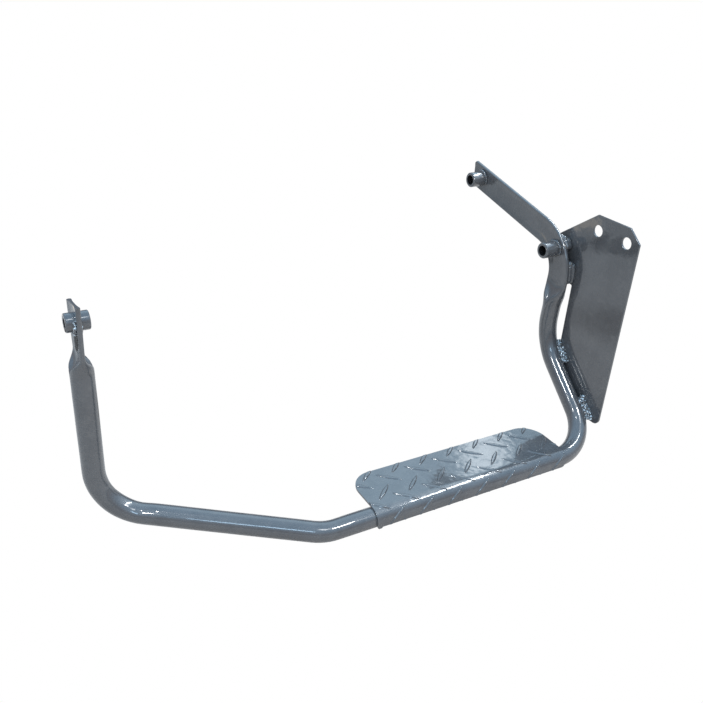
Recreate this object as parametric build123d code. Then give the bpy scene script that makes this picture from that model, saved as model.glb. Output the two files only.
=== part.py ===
from build123d import *
from math import cos, pi, radians, sin, tan
import os

os.makedirs("parts", exist_ok=True)

# A bolt-on cab step: one bent tube with its ends pressed flat, a folded checker
# tread wrapped over its front run, a mounting plate and three welded bushes.
# X runs along the tread to the plate, Y runs back under the cab, Z is up.
# The origin is midway between the two plate holes, on the plate's outer face.

# Tube
tube_od = 26.9
tube_wall = 2.0
bend_radius = 61.0
kink_radius = 88.0

# Corner points of the tube's centre line, from the origin or from each other
run_forward = 54.5
run_drop = 308.5
run_length = 445.2
leg_spacing = 687.0
leg_setback = 130.5
left_corner_rise = 26.6
lean_rise = 118.6
arm_bend_setback = 124.0
arm_bend_rise = 272.0
arm_angle = 12.6
arm_reach = 349.0
blade_top_rise = 300.4

# Pressed ends
press_draw = 1.0
pinch_gap = 0.6
flatten_length_right = 43.0
flatten_length_left = 28.0
blade_length = 60.0
flat_lead = 3.0
blade_offset = 0.8
blade_cut_angle = 6.0
arm_end_corner = 5.0

# Mounting plate
plate_thickness = 3.0
plate_front_margin = 6.2
plate_bottom_rise = 29.75
plate_top_rise = 330.3
plate_front_chamfer_y = 20.25
plate_front_chamfer_z = 17.0
plate_bottom_radius = 10.0
plate_top_back = 86.2
plate_back = 109.5
ear_reach = 150.0
ear_angle = 36.4
ear_bottom_rise = 215.5
ear_inner_radius = 2.0
hole_spacing = 53.0
hole_diameter = 16.5

# Tread
sheet = 2.5
tread_length = 315.5
tread_end_gap = 0.2
tread_depth = 68.0
tread_corner_radius = 32.0
flange_drop = 6.0
flange_corner_right = 5.5
flange_corner_left = 1.5

# Raised lugs of the checker pattern
lug_length = 37.0
lug_width = 5.0
lug_height = 1.2
lug_pitch = 45.3
lug_row_pitch = 42.6
lug_angle = 40.5
lug_first = 29.25
lug_row_forward = 20.8
lug_row_backward = 2.9
lug_margin = 1.5

# Bushes
arm_bush_od = 23.0
arm_bush_bore = 15.0
arm_bush_length = 24.0
arm_bush_chamfer = 1.0
kink_bush_share = 0.54
tip_bush_inset = 22.5
blade_bush_od = 21.5
blade_bush_bore = 11.0
blade_bush_length = 26.0
blade_bush_drop = 23.0
blade_bush_shift = 0.7
blade_bush_chamfer = 0.8

# Weld beads
ring_bead = 3.0
ring_crown = 0.62
arm_bead_start = -20.0
arm_bead_turn = 200.0
blade_bead_start = 180.0
blade_bead_turn = 160.0
bead_round = 0.28
bead_sink = 1.5
groove_bead_middle = 9.0
groove_bead_width = 9.0
groove_bead_depth = 6.5
bridge_bead_width = 12.0
lean_weld_length = 34.0
lean_weld_at = 56.0
kink_weld_turn = 24.0
ear_weld_upper_length = 14.0
ear_weld_lower_length = 26.0
ear_weld_upper_rise = 272.0
ear_weld_lower_rise = 234.0
ear_weld_setback = 4.5
tread_bead_width = 7.0
tread_bead_height = 6.0
tread_bead_setback = 9.0
tread_weld_length = 30.0
tread_weld_inset = 45.0
corner_bead = 5.0
corner_bead_length = 7.0

# Values that follow from the sizes above
tube_r = tube_od / 2
bore_r = tube_r - tube_wall
flat_width = pi * bore_r + 2 * tube_wall - press_draw
plate_face = -plate_thickness
right_x = plate_face - tube_r
left_x = right_x - leg_spacing
run_y = -run_forward
run_z = -run_drop
far = 200.0


def unit(v):
    return v * (1 / v.length)


# Centre line of the tube, from the left blade to the tip of the arm
left_top = Vector(left_x, run_y + leg_setback, run_z + blade_top_rise)
left_corner = Vector(left_x, run_y + leg_setback, run_z + left_corner_rise)
run_left = Vector(right_x - run_length, run_y, run_z)
run_right = Vector(right_x, run_y, run_z)
kink = Vector(right_x, run_y + leg_setback, run_z + lean_rise)
arm_bend = Vector(right_x, run_y + arm_bend_setback, run_z + arm_bend_rise)
arm_way = Vector(0, cos(radians(arm_angle)), sin(radians(arm_angle)))
arm_run = (arm_reach - arm_bend_setback) / cos(radians(arm_angle))
arm_tip = arm_bend + arm_way * arm_run
leg_way = unit(arm_bend - kink)
lean_way = unit(kink - run_right)

# Turn of the arm bend and how far its arc reaches down the leg
arm_turn = radians(leg_way.get_angle(arm_way))
arm_tangent = bend_radius * tan(arm_turn / 2)

# Ends of the round stretch and of the two flattened ones
flat_right = arm_bend - leg_way * (arm_tangent + flat_lead)
round_right = flat_right - leg_way * flatten_length_right
flat_left = left_top - Vector(0, 0, blade_length)
round_left = flat_left - Vector(0, 0, flatten_length_left)


def round_tube(radius):
    path = FilletPolyline(
        round_left, left_corner, run_left, run_right, kink, round_right,
        radius=[bend_radius, bend_radius, bend_radius, kink_radius],
    )
    return sweep(Plane(path @ 0, z_dir=path % 0) * Circle(radius), path)


def oval(plane, wide, thin, side):
    """Four-centre oval: half widths wide and thin, radius side at its narrow ends."""
    centre = wide - side
    if abs(thin - side) < 0.01 and centre < 0.01:
        x = y = wide * cos(pi / 4)
    elif abs(thin - side) < 0.01:
        x, y = centre, thin
    else:
        crown = (centre**2 + thin**2 - side**2) / (2 * (thin - side))
        x = centre + side * centre / (crown - side)
        y = side * (crown - thin) / (crown - side)
    if centre > 0.01 and abs(thin - side) < 0.01:
        top = Line((x, y), (-x, y))
        bottom = Line((-x, -y), (x, -y))
    else:
        top = ThreePointArc((x, y), (0, thin), (-x, y))
        bottom = ThreePointArc((-x, -y), (0, -thin), (x, -y))
    left = ThreePointArc((-x, y), (-wide, 0), (-x, -y))
    right = ThreePointArc((x, -y), (wide, 0), (x, y))
    return plane * make_face([top, left, bottom, right])


def press_share(step):
    return (1 - cos(pi * step)) / 2


def flattening(start, end, shift, inset=0.0, smallest=0.0, steps=(0.0, 0.25, 0.5, 0.75, 1.0)):
    """Loft from the round tube to the pressed one, drawn in by inset on every side."""
    way = unit(end - start)
    sections = []
    for step in steps:
        share = press_share(step)
        wide = tube_r + (flat_width / 2 - tube_r) * share - inset
        thin = max(tube_r + (tube_wall - tube_r) * share - inset, smallest)
        side = thin if step in (0.0, 1.0) else thin * (1 - 0.35 * sin(pi * share))
        place = start + (end - start) * step + shift * share
        plane = Plane(place, x_dir=way.cross(Vector(1, 0, 0)), z_dir=way)
        sections.append(oval(plane, wide, thin, side))
    return loft(sections, ruled=inset > 0)


def pressed_strip(points):
    """The closed, flat stretch of tube along a polyline with the tube's bend radius."""
    path = Polyline(*points) if len(points) == 2 else FilletPolyline(*points, radius=bend_radius)
    way = path % 0
    plane = Plane(path @ 0, x_dir=way.cross(Vector(1, 0, 0)), z_dir=way)
    return sweep(oval(plane, flat_width / 2, tube_wall, tube_wall), path)


def along_x(centre, radius, start, end):
    """Round bar along X between two X positions."""
    plane = Plane((start, centre.Y, centre.Z), z_dir=(1, 0, 0))
    return extrude(plane * Circle(radius), end - start)


# Where the bushes sit
bend_start = arm_bend - leg_way * arm_tangent
bend_back = leg_way.cross(Vector(1, 0, 0))
bend_middle = bend_start + bend_back * bend_radius
kink_angle = arm_turn * kink_bush_share
kink_bush_centre = bend_middle - (bend_back * cos(kink_angle) - leg_way * sin(kink_angle)) * bend_radius
tip_bush_centre = arm_tip - arm_way * tip_bush_inset
blade_shift = Vector(-blade_offset, 0, 0)
blade_bush_centre = left_top + Vector(blade_bush_shift, 0, -blade_bush_drop)
arm_near_x = right_x - tube_wall


def step_tube():
    outer = round_tube(tube_r)
    outer += flattening(round_right, flat_right, Vector(0, 0, 0))
    outer += flattening(round_left, flat_left, blade_shift)
    arm_end = arm_tip + arm_way * flat_width
    outer += pressed_strip([flat_right, arm_bend, arm_end])
    blade_end = left_top + blade_shift + Vector(0, 0, flat_width)
    outer += pressed_strip([flat_left + blade_shift, blade_end])
    inner = round_tube(bore_r)
    inner += flattening(round_right, flat_right, Vector(0, 0, 0), tube_wall, pinch_gap / 2, (0.0, 0.6, 1.0))
    inner += flattening(round_left, flat_left, blade_shift, tube_wall, pinch_gap / 2, (0.0, 0.6, 1.0))

    # The arm is cut off upright, with its top corner clipped
    past_arm = Pos(right_x, arm_tip.Y + far / 2, arm_tip.Z) * Box(far, far, far)
    top_corner = arm_tip + Vector(0, 0, flat_width / 2 / cos(radians(arm_angle)))
    clip_size = arm_end_corner * 2
    clip = Pos(top_corner.X, top_corner.Y, top_corner.Z) * Rot(X=45) * Box(far, clip_size, clip_size)

    # The blade is cut off at a slant, its front edge highest
    cut_plane = Pos(left_top.X, left_top.Y - flat_width / 2, left_top.Z) * Rot(X=-blade_cut_angle)
    past_blade = cut_plane * Pos(0, 0, far / 2) * Box(far, far, far)

    tube = outer - inner - past_arm - clip - past_blade
    for centre in (kink_bush_centre, tip_bush_centre):
        tube -= along_x(centre, arm_bush_bore / 2, right_x - far / 2, right_x + tube_r)
    tube -= along_x(blade_bush_centre, blade_bush_od / 2, left_x - far / 2, left_x + far / 2)
    return tube


def bush(centre, outer, bore, start, end, edge, both_ends):
    body = along_x(centre, outer / 2, start, end) - along_x(centre, bore / 2, start, end)
    rims = body.edges().filter_by(GeomType.CIRCLE).group_by(Axis.X)
    body = chamfer(rims[0], edge)
    if both_ends:
        body = chamfer(body.edges().filter_by(GeomType.CIRCLE).group_by(Axis.X)[-1], edge)
    return body


def mounting_plate():
    front = run_y + plate_front_margin
    bottom = run_z + plate_bottom_rise
    top = run_z + plate_top_rise
    back = run_y + plate_back
    ear_back = run_y + ear_reach
    ear_bottom = run_z + ear_bottom_rise
    top_back = run_y + plate_top_back
    ear_top = top - (ear_back - top_back) * tan(radians(ear_angle))
    lean_slope = lean_rise / leg_setback
    outline = Polyline(
        (front, bottom),
        (run_y + plate_bottom_rise / lean_slope, bottom),
        (back, run_z + plate_back * lean_slope),
        (back, ear_bottom),
        (ear_back, ear_bottom),
        (ear_back, ear_top),
        (top_back, top),
        (front + plate_front_chamfer_y, top),
        (front, top - plate_front_chamfer_z),
        close=True,
    )
    face = make_face(outline)
    corner = face.vertices().sort_by_distance(Vector(front, bottom, 0))[0]
    face = fillet(corner, plate_bottom_radius)
    notch = face.vertices().sort_by_distance(Vector(back, ear_bottom, 0))[0]
    face = fillet(notch, ear_inner_radius)
    for place in (-hole_spacing / 2, hole_spacing / 2):
        face -= Pos(place, 0) * Circle(hole_diameter / 2)
    return extrude(Plane((plate_face, 0, 0), x_dir=(0, 1, 0), z_dir=(1, 0, 0)) * face, plate_thickness)


# The tread's ends
tread_right = run_right.X - bend_radius - tread_end_gap
tread_left = tread_right - tread_length


def folded(inner, outer):
    """Sheet wrapped over the front of the run, between two distances from the tube's surface."""
    near = tube_r + inner
    out = tube_r + outer
    edge = -flange_drop
    deep = tread_depth
    section = make_face([
        Line((-out, edge), (-out, 0)),
        CenterArc((0, 0), out, 180, -90),
        Line((0, out), (deep, out)),
        Line((deep, out), (deep, near)),
        Line((deep, near), (0, near)),
        CenterArc((0, 0), near, 90, 90),
        Line((-near, 0), (-near, edge)),
        Line((-near, edge), (-out, edge)),
    ])
    place = Plane((tread_left, run_y, run_z), x_dir=(0, 1, 0), z_dir=(1, 0, 0))
    body = extrude(place * section, tread_length)
    body = fillet(body.edges().filter_by(Axis.Z).group_by(Axis.Y)[-1], tread_corner_radius)
    low = body.edges().filter_by(Axis.Y).group_by(Axis.Z)[0].sort_by(Axis.X)
    body = chamfer(low[-1], flange_corner_right)
    low = body.edges().filter_by(Axis.Y).group_by(Axis.Z)[0].sort_by(Axis.X)
    return chamfer(low[0], flange_corner_left)


def lug_outline(angle):
    """Lens between two equal arcs, turned by angle."""
    half = lug_length / 2
    bulge = lug_width / 2
    return Rot(Z=angle) * make_face([
        ThreePointArc((-half, 0), (0, bulge), (half, 0)),
        ThreePointArc((half, 0), (0, -bulge), (-half, 0)),
    ])


def tread_plate():
    body = folded(0, sheet)
    inside = Pos((tread_left + tread_right) / 2, run_y, run_z) * Box(tread_length - 2 * lug_margin, far, far)
    skin = folded(sheet / 2, sheet + lug_height) & inside
    bars = []
    columns = int(tread_length / lug_pitch) + 2
    tall = tube_od + 4 * sheet
    for column in range(-1, columns):
        x_forward = tread_left + lug_first + column * lug_pitch
        x_backward = x_forward + lug_pitch / 2
        for row in (0, 1):
            y_forward = run_y + lug_row_forward + row * lug_row_pitch
            y_backward = run_y + lug_row_backward + row * lug_row_pitch
            bars.append(extrude(Pos(x_forward, y_forward, run_z) * lug_outline(lug_angle), tall))
            bars.append(extrude(Pos(x_backward, y_backward, run_z) * lug_outline(-lug_angle), tall))
        # The front row lies over the fold, so its bars are cut square to the sheet there
        fold_turn = (lug_row_pitch - lug_row_forward) / (tube_r + sheet)
        fold_way = (0, -sin(fold_turn), cos(fold_turn))
        fold = Plane((x_forward, run_y, run_z), x_dir=(1, 0, 0), z_dir=fold_way)
        bars.append(extrude(fold * lug_outline(lug_angle), tall))
    for bar in bars:
        lug = bar & skin
        if lug:
            body += lug
    return body


def bead(middle, way, across, length, width, height):
    """Straight run of weld with every edge broken; across is the way of its width."""
    place = Plane(middle, x_dir=way, z_dir=way.cross(across)).location
    body = place * Box(length, width, height)
    return chamfer(body.edges(), min(width, height) * bead_round)


def ring(centre, x, outer, side, start, turn):
    """Weld run part of the way round a bush, on the face at x; side is the way that the face looks.

    The run starts at an angle counted from the back upwards, and turns on the same way.
    """
    near = outer / 2
    section = make_face(Polyline(
        (near, 0), (near + ring_bead, 0), (near + ring_bead * ring_crown, ring_bead * ring_crown),
        (near, ring_bead), close=True,
    ))
    outward = Vector(0, cos(radians(start)), sin(radians(start)))
    ring_plane = Plane((x, centre.Y, centre.Z), x_dir=outward, z_dir=outward.cross(Vector(side, 0, 0)))
    return revolve(ring_plane * section, Axis((x, centre.Y, centre.Z), (1, 0, 0)), turn)


def export(name, shape):
    solids = shape.solids()
    export_step(solids[0] if len(solids) == 1 else Compound(children=list(solids)), f"parts/{name}.step")
    print(f"{name}: {len(solids)} solid, {sum(s.volume for s in solids):.0f} mm3")


tube = step_tube()
plate = mounting_plate()
tread = tread_plate()
outer_skin = round_tube(tube_r)

blade_middle_x = left_x - blade_offset
half_blade_bush = blade_bush_length / 2
blade_bush = bush(blade_bush_centre, blade_bush_od, blade_bush_bore, blade_bush_centre.X - half_blade_bush,
                  blade_bush_centre.X + half_blade_bush, blade_bush_chamfer, True)
kink_bush = bush(kink_bush_centre, arm_bush_od, arm_bush_bore, arm_near_x - arm_bush_length,
                 arm_near_x, arm_bush_chamfer, False)
tip_bush = bush(tip_bush_centre, arm_bush_od, arm_bush_bore, arm_near_x - arm_bush_length,
                arm_near_x, arm_bush_chamfer, False)


def blade_weld(side):
    """Weld under the blade's bush, on one face of the blade."""
    x = blade_middle_x + side * tube_wall
    return ring(blade_bush_centre, x, blade_bush_od, side, blade_bead_start, blade_bead_turn)


# Welds in the groove between the leaning tube and the plate, measured from the tube's axis
groove_side = lean_way.cross(Vector(-1, 0, 0))
groove_depth = groove_bead_depth + bead_sink
groove_shift = groove_side * groove_bead_middle + Vector(tube_r + bead_sink - groove_depth / 2, 0, 0)


def lean_weld():
    """Weld along the straight part of the leaning tube."""
    middle = run_right + lean_way * lean_weld_at + groove_shift
    body = bead(middle, lean_way, groove_side, lean_weld_length, groove_bead_width, groove_depth)
    return body - outer_skin - plate


def kink_weld():
    """Weld that follows the tube into its kink."""
    turn = radians(lean_way.get_angle(leg_way))
    start = kink - lean_way * (kink_radius * tan(turn / 2))
    place = Plane(start + groove_shift, x_dir=groove_side, z_dir=lean_way)
    section = chamfer(Rectangle(groove_bead_width, groove_depth).vertices(), groove_depth * bead_round)
    body = revolve(place * section, Axis(start + groove_side * kink_radius, (1, 0, 0)), kink_weld_turn)
    return body - outer_skin - plate


def front_edge(rise):
    """Point on the front edge of the flattened leg or bend at a height above the run."""
    z = run_z + rise
    if z < bend_start.Z:
        on_line = bend_start - leg_way * ((bend_start.Z - z) / leg_way.Z)
        return on_line - bend_back * (flat_width / 2)
    radius = bend_radius + flat_width / 2
    height = z - bend_middle.Z
    return Vector(right_x, bend_middle.Y - (radius**2 - height**2) ** 0.5, z)


def ear_weld(rise, length):
    """Weld that bridges the gap between the flattened tube and the plate's ear."""
    gap = tube_r - tube_wall
    low = front_edge(rise - length / 2)
    high = front_edge(rise + length / 2)
    middle = (low + high) * 0.5 + Vector(tube_wall + gap / 2, ear_weld_setback, 0)
    way = unit(high - low)
    across = way.cross(Vector(1, 0, 0))
    body = bead(middle, way, across, length, bridge_bead_width, gap + 2 * bead_sink)
    return body - tube - plate


def tread_groove_weld(x):
    """Weld in the groove between the back of the run and the underside of the tread."""
    middle = Vector(x, run_y + tread_bead_setback, run_z + tube_r + bead_sink - tread_bead_height / 2)
    along, across = Vector(1, 0, 0), Vector(0, 1, 0)
    body = bead(middle, along, across, tread_weld_length, tread_bead_width, tread_bead_height)
    return body - outer_skin - tread


def tread_corner_weld(x):
    """Short weld under the end of the tread's front flange."""
    middle = Vector(x, run_y - tube_r, run_z - flange_drop - corner_bead / 2 + bead_sink)
    body = bead(middle, Vector(1, 0, 0), Vector(0, 1, 0), corner_bead_length, corner_bead, corner_bead)
    return body - outer_skin - tread


pieces = {
    "step_tube": tube,
    "mounting_plate": plate,
    "tread_plate": tread,
    "blade_bush": blade_bush,
    "arm_bush_kink": kink_bush,
    "arm_bush_tip": tip_bush,
    "blade_weld_outer": blade_weld(-1),
    "blade_weld_inner": blade_weld(1),
    "arm_weld_kink": ring(kink_bush_centre, arm_near_x, arm_bush_od, -1, arm_bead_start, arm_bead_turn),
    "arm_weld_tip": ring(tip_bush_centre, arm_near_x, arm_bush_od, -1, arm_bead_start, arm_bead_turn),
    "lean_weld_upper": kink_weld(),
    "lean_weld_lower": lean_weld(),
    "ear_weld_upper": ear_weld(ear_weld_upper_rise, ear_weld_upper_length),
    "ear_weld_lower": ear_weld(ear_weld_lower_rise, ear_weld_lower_length),
    "tread_weld_left": tread_groove_weld(tread_left + tread_weld_inset),
    "tread_weld_right": tread_groove_weld(tread_right - tread_weld_inset),
    "flange_weld_left": tread_corner_weld(tread_left + corner_bead_length / 2 + flange_corner_left),
}

for name, shape in pieces.items():
    export(name, shape)
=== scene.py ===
# %% [markdown]
# # A bolt-on cab step in gloss enamel
# The real step is one bent steel tube whose two ends were pressed flat, a folded checker tread
# that wraps over the tube's front run, a drilled mounting plate, three bushes and eleven runs
# of weld, all painted slate grey together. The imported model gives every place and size. This
# file adds what paint, presses and a welding torch leave behind: soft edges, creases, rippled
# beads, domed lugs and a glossy coat.

# %% Load the model
import bpy
import bmesh
import random
from math import atan2, ceil, cos, degrees, pi, radians, sin, tan
from mathutils import Matrix, Vector, noise


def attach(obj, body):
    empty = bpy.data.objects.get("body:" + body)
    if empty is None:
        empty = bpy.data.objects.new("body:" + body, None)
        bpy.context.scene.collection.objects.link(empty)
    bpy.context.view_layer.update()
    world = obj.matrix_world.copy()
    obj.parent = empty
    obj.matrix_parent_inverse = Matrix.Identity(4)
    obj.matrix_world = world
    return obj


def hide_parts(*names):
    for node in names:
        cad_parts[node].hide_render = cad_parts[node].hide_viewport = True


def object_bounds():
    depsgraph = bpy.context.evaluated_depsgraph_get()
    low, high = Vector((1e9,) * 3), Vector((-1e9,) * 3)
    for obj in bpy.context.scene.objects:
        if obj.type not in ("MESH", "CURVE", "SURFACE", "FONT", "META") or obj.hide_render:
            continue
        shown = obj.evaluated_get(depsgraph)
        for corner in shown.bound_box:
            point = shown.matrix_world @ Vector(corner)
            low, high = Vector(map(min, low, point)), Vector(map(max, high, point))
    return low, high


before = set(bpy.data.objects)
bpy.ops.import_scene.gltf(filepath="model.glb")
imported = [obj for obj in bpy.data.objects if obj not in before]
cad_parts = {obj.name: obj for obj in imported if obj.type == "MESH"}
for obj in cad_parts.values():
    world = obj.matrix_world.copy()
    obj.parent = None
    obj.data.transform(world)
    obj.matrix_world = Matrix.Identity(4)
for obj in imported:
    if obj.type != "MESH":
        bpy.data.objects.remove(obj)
cad_low, cad_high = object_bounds()
print("model box", [round(v, 4) for v in cad_low], [round(v, 4) for v in cad_high])

# %% [markdown]
# ## Sizes
# The sizes repeat those of the model, in metres. X runs along the tread towards the plate, Y
# runs back under the cab and Z is up. The origin is midway between the two plate holes, on the
# plate's outer face.

# %% Sizes of the tube
MM = 0.001
X_WAY, Z_WAY = Vector((1, 0, 0)), Vector((0, 0, 1))
TUBE_R = 13.45 * MM
TUBE_WALL = 2.0 * MM
BEND_R = 61.0 * MM
KINK_R = 88.0 * MM
FLAT_WIDTH = pi * (TUBE_R - TUBE_WALL) + 2 * TUBE_WALL - 1.0 * MM
PLATE_FACE = -3.0 * MM
RUN = Vector((0, -54.5 * MM, -308.5 * MM))
RIGHT_X = PLATE_FACE - TUBE_R
LEFT_X = RIGHT_X - 687.0 * MM


def place(x, forward, rise):
    """Point at x, measured back and up from the middle of the front run, in millimetres."""
    return Vector((x, RUN.y + forward * MM, RUN.z + rise * MM))


LEFT_TOP = place(LEFT_X, 130.5, 300.4)
LEFT_CORNER = place(LEFT_X, 130.5, 26.6)
RUN_LEFT = place(RIGHT_X - 445.2 * MM, 0, 0)
RUN_RIGHT = place(RIGHT_X, 0, 0)
KINK = place(RIGHT_X, 130.5, 118.6)
ARM_BEND = place(RIGHT_X, 124.0, 272.0)
ARM_ANGLE = radians(12.6)
ARM_WAY = Vector((0, cos(ARM_ANGLE), sin(ARM_ANGLE)))
ARM_TIP = ARM_BEND + ARM_WAY * (225.0 * MM / cos(ARM_ANGLE))
LEG_WAY = (ARM_BEND - KINK).normalized()
LEAN_WAY = (KINK - RUN_RIGHT).normalized()

ARM_TURN = LEG_WAY.angle(ARM_WAY)
ARM_TANGENT = BEND_R * tan(ARM_TURN / 2)
FLAT_RIGHT = ARM_BEND - LEG_WAY * (ARM_TANGENT + 3.0 * MM)
ROUND_RIGHT = FLAT_RIGHT - LEG_WAY * 43.0 * MM
FLAT_LEFT = LEFT_TOP - Z_WAY * 60.0 * MM
ROUND_LEFT = FLAT_LEFT - Z_WAY * 28.0 * MM
print("pressed width", round(FLAT_WIDTH / MM, 2), "mm")
print("arm turns", round(degrees(ARM_TURN), 1), "degrees")

# %% Sizes of the tread and the bushes
SHEET = 2.5 * MM
TREAD_RIGHT = RUN_RIGHT.x - BEND_R - 0.2 * MM
TREAD_LEFT = TREAD_RIGHT - 315.5 * MM
TREAD_DEPTH = 68.0 * MM
TREAD_CORNER = 32.0 * MM
FLANGE = 6.0 * MM
FOLD_R = TUBE_R + SHEET
FOLD_ARC = FOLD_R * pi / 2

BEND_START = ARM_BEND - LEG_WAY * ARM_TANGENT
BEND_BACK = LEG_WAY.cross(X_WAY)
BEND_MIDDLE = BEND_START + BEND_BACK * BEND_R
KINK_BUSH_ANGLE = ARM_TURN * 0.54
KINK_BUSH = BEND_MIDDLE - (BEND_BACK * cos(KINK_BUSH_ANGLE) - LEG_WAY * sin(KINK_BUSH_ANGLE)) * BEND_R
TIP_BUSH = ARM_TIP - ARM_WAY * 22.5 * MM
BLADE_BUSH = LEFT_TOP + Vector((0.7 * MM, 0, -23.0 * MM))
ARM_NEAR_X = RIGHT_X - TUBE_WALL
BLADE_OFFSET = 0.8 * MM
BLADE_X = LEFT_X - BLADE_OFFSET
ARM_BUSH_R = 11.5 * MM
ARM_BUSH_BORE = 7.5 * MM
BLADE_BUSH_R = 10.75 * MM
BLADE_BUSH_BORE = 5.5 * MM

# %% [markdown]
# ## Camera
# The lens and the place of the camera were worked out from the photograph: the tube's outline,
# the plate's edges and the folds of the tread fix them to a few millimetres. The three ways
# below are the camera's right, down and forward directions in the step's own frame.

# %% Camera
CAMERA_AT = Vector((-0.83915, -0.7264, 0.3531))
CAMERA_RIGHT = Vector((0.872528, -0.485570, 0.054008))
CAMERA_DOWN = Vector((-0.185336, -0.431245, -0.882994))
CAMERA_FORWARD = Vector((0.452046, 0.760427, -0.466267))

IMAGE_SIZE = 703
FOCAL_LENGTH = 40.967


def scene_object(name, data):
    """A new object in the scene, round a mesh, a lamp or a lens."""
    new = bpy.data.objects.new(name, data)
    bpy.context.scene.collection.objects.link(new)
    return new


lens = bpy.data.cameras.new("step_camera")
lens.sensor_width = 36.0
lens.lens = FOCAL_LENGTH
lens.shift_x = 1 / IMAGE_SIZE
lens.clip_start = 0.01
camera = scene_object("step_camera", lens)
turn = Matrix((CAMERA_RIGHT, -CAMERA_DOWN, -CAMERA_FORWARD)).transposed()
camera.matrix_world = Matrix.Translation(CAMERA_AT) @ turn.to_4x4()
bpy.context.scene.camera = camera
bpy.context.scene.view_settings.view_transform = "Standard"

# %% [markdown]
# ## A short way to write node trees
# Materials and Geometry Nodes are both trees of nodes. This helper adds a node, sets what it is
# given, links what comes from another node, and hands back its output, so that a tree reads
# like a sum.

# %% Node helper


class Tree:
    """Adds nodes to a material's tree or a Geometry Nodes tree."""

    def __init__(self, tree):
        self.tree = tree

    def feed(self, node, inputs):
        """Links or sets the inputs of a node; a list is linked to one socket that takes many."""
        for key, value in inputs.items():
            socket = node.inputs[key]
            for one in value if isinstance(value, list) else [value]:
                if isinstance(one, bpy.types.NodeSocket):
                    self.tree.links.new(one, socket)
                else:
                    socket.default_value = one

    def add(self, kind, inputs=None, output=0, **settings):
        node = self.tree.nodes.new(kind)
        for name, value in settings.items():
            setattr(node, name, value)
        self.feed(node, inputs or {})
        return node.outputs[output]

    def split(self, vector):
        """The X, Y and Z of a vector."""
        node = self.tree.nodes.new("ShaderNodeSeparateXYZ")
        self.feed(node, {0: vector})
        return node.outputs

    def math(self, operation, first, second=0.0):
        return self.add("ShaderNodeMath", {0: first, 1: second}, operation=operation)

    def times(self, first, second):
        return self.math("MULTIPLY", first, second)

    def plus(self, first, second):
        return self.math("ADD", first, second)

    def minus(self, first, second):
        return self.math("SUBTRACT", first, second)

    def noise(self, where, scale, detail=2.0, roughness=0.5):
        values = {"Vector": where, "Scale": scale, "Detail": detail, "Roughness": roughness}
        return self.add("ShaderNodeTexNoise", values)

    def ramp(self, value, low, high, start=0.0, end=1.0):
        """A value carried smoothly from the range low to high into the range start to end."""
        values = {"Value": value, "From Min": low, "From Max": high, "To Min": start, "To Max": end}
        return self.add("ShaderNodeMapRange", values, interpolation_type="SMOOTHSTEP")

    def blend(self, share, first, second):
        """Mix of two colours, which are the node's sockets 6 and 7; its colour output is 2."""
        values = {"Factor": share, 6: first, 7: second}
        return self.add("ShaderNodeMix", values, 2, data_type="RGBA")


# %% [markdown]
# ## Gloss enamel
# Gloss enamel dries as a clear, glossy skin over a pigmented layer. A Principled shader with a
# coat does both: the base scatters the slate grey and the coat gives the sharp reflection.
# Its surface is never flat. Small dimples, the orange peel, sit on slow waves where the paint
# flowed, and a few specks of dust dried into it. All of it reads Object coordinates, because
# every piece sits at the origin, so the pattern stays in place.

# %% Enamel
ENAMEL = (0.090, 0.090, 0.093, 1.0)
ENAMEL_THIN = (0.108, 0.106, 0.105, 1.0)
ENAMEL_DEEP = (0.070, 0.071, 0.075, 1.0)
SPECK_GREY = (0.30, 0.31, 0.31, 1.0)
DUST = (0.135, 0.128, 0.118, 1.0)
# The colour of painted glints: pale specks that stand in for highlights.
PAINTED_GLINT_COLOUR = (0.80, 0.93, 1.0, 1.0)


def principled(name):
    """A new material, its tree and its Principled shader."""
    material = bpy.data.materials.new(name)
    material.use_nodes = True
    return material, Tree(material.node_tree), material.node_tree.nodes["Principled BSDF"]


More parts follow.
